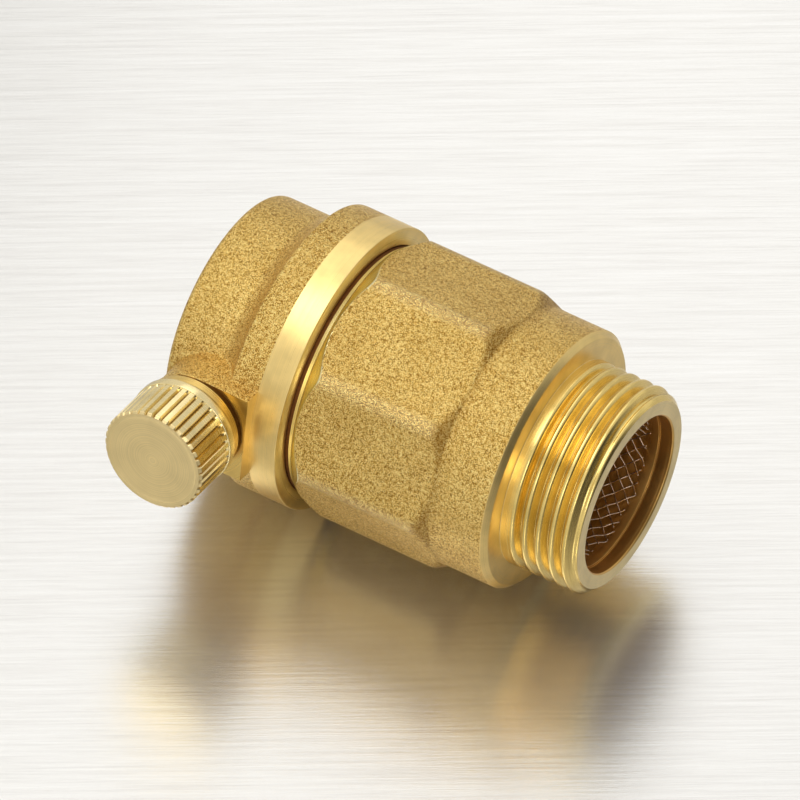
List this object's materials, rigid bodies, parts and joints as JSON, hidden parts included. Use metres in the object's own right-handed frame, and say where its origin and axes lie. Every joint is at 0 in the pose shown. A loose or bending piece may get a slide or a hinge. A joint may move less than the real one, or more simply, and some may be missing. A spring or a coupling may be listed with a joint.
{
  "type": "automatic air vent",
  "caption": "Brass float-operated air vent with a threaded inlet and gauze filter, an octagonal float chamber, a screwed bonnet and a knurled side cap.",
  "frame": {"origin": "centre of the flat shoulder face that the inlet thread stands on", "axes": "+Z along the main axis from the inlet to the bonnet, -Y towards the vent cap"},
  "size_m": [0.0366, 0.0472, 0.0555],
  "materials": {
    "brass_blasted": "sandblasted forged brass",
    "brass_machined": "machined bright brass",
    "brass_cap": "turned and knurled brass",
    "gauze": "woven wire gauze",
    "steel": "stamped stainless steel",
    "rubber": "matt black rubber",
    "float_plastic": "moulded off-white plastic",
    "fibre": "dark brown sealing fibre"
  },
  "bodies": {
    "housing": {"body": "brass_blasted", "filter_screen": "gauze", "bonnet": "brass_blasted", "bonnet_o_ring": "rubber", "outlet_nipple": "brass_machined", "nipple_washer": "fibre", "valve_seat": "brass_machined", "seat_o_ring": "rubber", "lever_bracket": "steel", "bracket_screws": "steel", "lever_pin": "steel", "pin_clips": "steel"},
    "cap_carrier": {"cap_seal": "rubber"},
    "cap": {"vent_cap": "brass_cap"},
    "float": {"float_shell": "float_plastic", "float_base": "float_plastic", "float_hanger": "float_plastic"},
    "lever": {"valve_lever": "steel", "valve_pad": "rubber", "pad_rivet": "steel", "link_pin": "steel"}
  },
  "joints": [
    {"name": "cap_travel", "type": "slide", "parent": "housing", "child": "cap_carrier", "axis": [0, -1, 0], "range_m": [0, 0.002]},
    {"name": "cap_turn", "type": "hinge", "parent": "cap_carrier", "child": "cap", "pos_m": [0, -0.0252, 0.03861], "axis": [0, -1, 0], "range_deg": [0, 722]},
    {"name": "float_lift", "type": "slide", "parent": "housing", "child": "float", "axis": [0, 0, 1], "range_m": [0, 0.00261]},
    {"name": "lever_turn", "type": "hinge", "parent": "housing", "child": "lever", "pos_m": [0, -0.009, 0.033], "axis": [1, 0, 0], "range_deg": [0, 16.6]}
  ],
  "couplings": [
    {"joint": "cap_turn", "follows": "cap_travel", "rad_per_m": 6283.2},
    {"joint": "lever_turn", "follows": "float_lift", "rad_per_m": 110.34}
  ]
}
